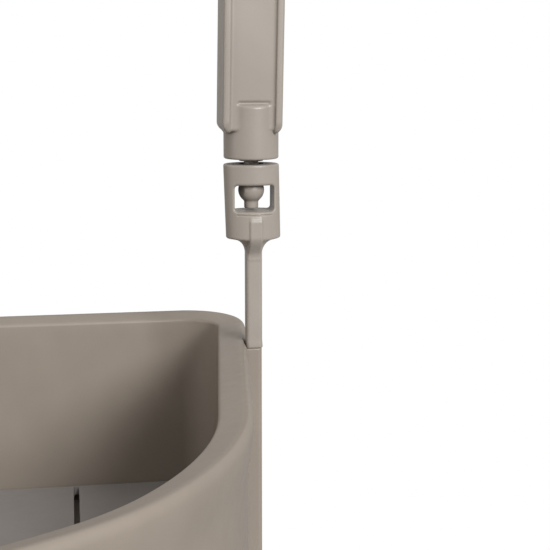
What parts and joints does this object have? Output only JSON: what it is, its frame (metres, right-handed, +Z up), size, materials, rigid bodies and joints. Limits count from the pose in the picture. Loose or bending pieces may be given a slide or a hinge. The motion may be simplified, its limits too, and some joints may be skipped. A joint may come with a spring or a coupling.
{
  "type": "hanging toiletry caddy",
  "caption": "Rigid moulded hanging toiletry caddy: a D-shaped drained basket on two drop rods with ball joints, under a channel bail with a swivel rail hook.",
  "frame": {"origin": "on the axis of the rail that the hook hangs on, in the hanger's middle plane", "axes": "+Z up, +Y towards the wall behind (the basket's straight back), +X to the right seen from the front and along the rail"},
  "size_m": [0.2658, 0.1966, 0.3605],
  "materials": {
    "moulded_plastic": "fine satin moulded texture, warm taupe",
    "floor_plastic": "smooth satin, cooler grey taupe",
    "soft_liner": "soft matt elastomer",
    "slip_plastic": "natural acetal",
    "steel": "plain stainless"
  },
  "bodies": {
    "hook": {"swivel_hook": "moulded_plastic", "hook_liner": "soft_liner", "hook_thrust_washer": "slip_plastic", "hook_lower_washer": "steel", "hook_push_nut": "steel"},
    "hanger": {"hanger_bail": "moulded_plastic", "hub_cap": "moulded_plastic", "ball_stud_left": "moulded_plastic", "ball_stud_right": "moulded_plastic", "stud_washer_left": "steel", "stud_washer_right": "steel", "stud_push_nut_left": "steel", "stud_push_nut_right": "steel"},
    "basket": {"basket_shell": "moulded_plastic", "drain_floor": "floor_plastic", "side_post_left": "moulded_plastic", "side_post_right": "moulded_plastic", "post_rivets": "slip_plastic", "drop_rod_left": "moulded_plastic", "drop_rod_right": "moulded_plastic"}
  },
  "joints": [
    {"name": "hook_swivel", "type": "hinge", "parent": "hook", "child": "hanger", "pos_m": [0, 0, -0.06443], "axis": [0, 0, 1], "continuous": true},
    {"name": "basket_swing", "type": "hinge", "parent": "hanger", "child": "basket", "pos_m": [0, 0, -0.2364], "axis": [1, 0, 0], "range_deg": [-10, 10]}
  ]
}
